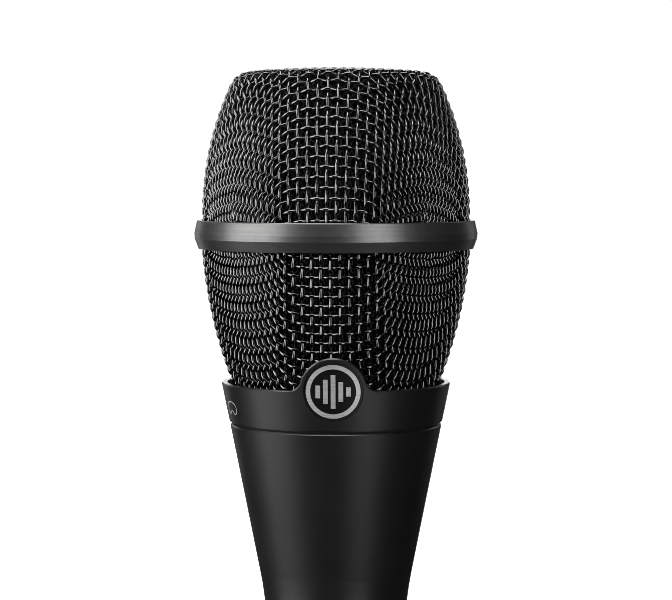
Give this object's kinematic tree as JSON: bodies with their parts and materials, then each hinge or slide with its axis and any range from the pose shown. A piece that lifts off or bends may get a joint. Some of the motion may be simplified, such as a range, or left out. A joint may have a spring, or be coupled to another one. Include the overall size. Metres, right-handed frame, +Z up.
{
  "type": "dynamic microphone",
  "caption": "Handheld dynamic vocal microphone: woven wire grille with a centre band, collar with a round badge, tapered metal handle and a male three-pole connector in its tail.",
  "frame": {"origin": "centre of the handle's flat tail face, on the microphone's axis", "axes": "+Z up the microphone's axis, towards the top of the grille; -Y is the badge side"},
  "size_m": [0.05, 0.05, 0.19],
  "materials": {
    "wire": "satin black lacquer on steel wire",
    "fine_screen": "matt black lacquer",
    "foam": "open-cell foam, black",
    "band": "satin charcoal lacquer",
    "body_paint": "satin black powder coat",
    "badge": "black lacquer",
    "emblem": "fine-brushed relief, clear lacquered",
    "rubber": "matt",
    "plastic": "moulded, fine texture",
    "steel": "satin",
    "magnet": "nickel plated",
    "lamination": "stacked sheet, lacquered",
    "copper": "enamelled copper wire",
    "film": "clear amber film",
    "felt": "pressed felt",
    "board": "green solder mask",
    "ceramic": "ceramic chip",
    "tin": "tin plated",
    "gold": "gold plated",
    "red_wire": "insulated wire",
    "white_wire": "insulated wire",
    "insulator": "glass-filled, matt"
  },
  "bodies": {
    "root": {"collar": "body_paint", "badge_plate": "badge", "badge_emblem": "emblem", "seam_washer": "rubber", "cartridge_carrier": "plastic", "carrier_screws": "steel", "shock_mount_upper": "rubber", "shock_mount_lower": "rubber", "cartridge_lead_hot": "red_wire", "cartridge_lead_cold": "white_wire", "handle_shell": "body_paint", "transformer_core": "lamination", "transformer_bobbin": "plastic", "transformer_winding": "copper", "transformer_cradle": "plastic", "output_lead_hot": "red_wire", "output_lead_cold": "white_wire", "filter_board": "board", "filter_capacitors": "ceramic", "connector_shell": "steel", "connector_insulator": "insulator", "connector_contact_1": "gold", "connector_contact_2": "gold", "connector_contact_3": "gold", "connector_set_screw": "steel"},
    "grille_seal": {"grille_gasket": "rubber"},
    "grille_foam": {"foam_liner_upper": "foam", "foam_liner_lower": "foam"},
    "grille": {"upper_mesh": "wire", "lower_mesh": "wire", "inner_screen_upper": "fine_screen", "inner_screen_lower": "fine_screen", "centre_band": "band", "band_hoop": "steel", "grille_base_ring": "body_paint"},
    "cartridge": {"cartridge_frame": "plastic", "front_cap": "plastic", "front_screen": "felt", "diaphragm_ring": "plastic", "yoke_cup": "steel", "magnet": "magnet", "pole_piece": "steel", "resonator_cup": "plastic", "damping_felt": "felt", "rear_port_screen": "felt", "cup_retainer": "plastic", "terminal_board": "board", "solder_tags": "tin"},
    "voice_coil_assembly": {"voice_coil": "copper", "coil_former": "film", "diaphragm": "film"}
  },
  "joints": [
    {"name": "grille_lift", "type": "slide", "parent": "root", "child": "grille_seal", "axis": [0, 0, 1], "range_m": [0, 0.05]},
    {"name": "grille_rise", "type": "slide", "parent": "grille_seal", "child": "grille_foam", "axis": [0, 0, 1], "range_m": [0, 0.00301]},
    {"name": "grille_unscrew", "type": "hinge", "parent": "grille_foam", "child": "grille", "pos_m": [0, 0, 0.13], "axis": [0, 0, 1], "range_deg": [0, 1440]},
    {"name": "cartridge_float", "type": "slide", "parent": "root", "child": "cartridge", "axis": [0, 0, 1], "range_m": [-0.0008, 0.0008], "stiffness_N_per_m": 1500, "springref_m": 0.00023, "deforming": ["shock_mount_upper", "shock_mount_lower", "cartridge_lead_hot", "cartridge_lead_cold"]},
    {"name": "voice_coil_travel", "type": "slide", "parent": "cartridge", "child": "voice_coil_assembly", "axis": [0, 0, 1], "range_m": [-0.00025, 0.00025], "stiffness_N_per_m": 100, "springref_m": 0.0001, "deforming": ["diaphragm"]}
  ],
  "couplings": [
    {"joint": "grille_rise", "follows": "grille_unscrew", "m_per_rad": 0.00011937}
  ]
}
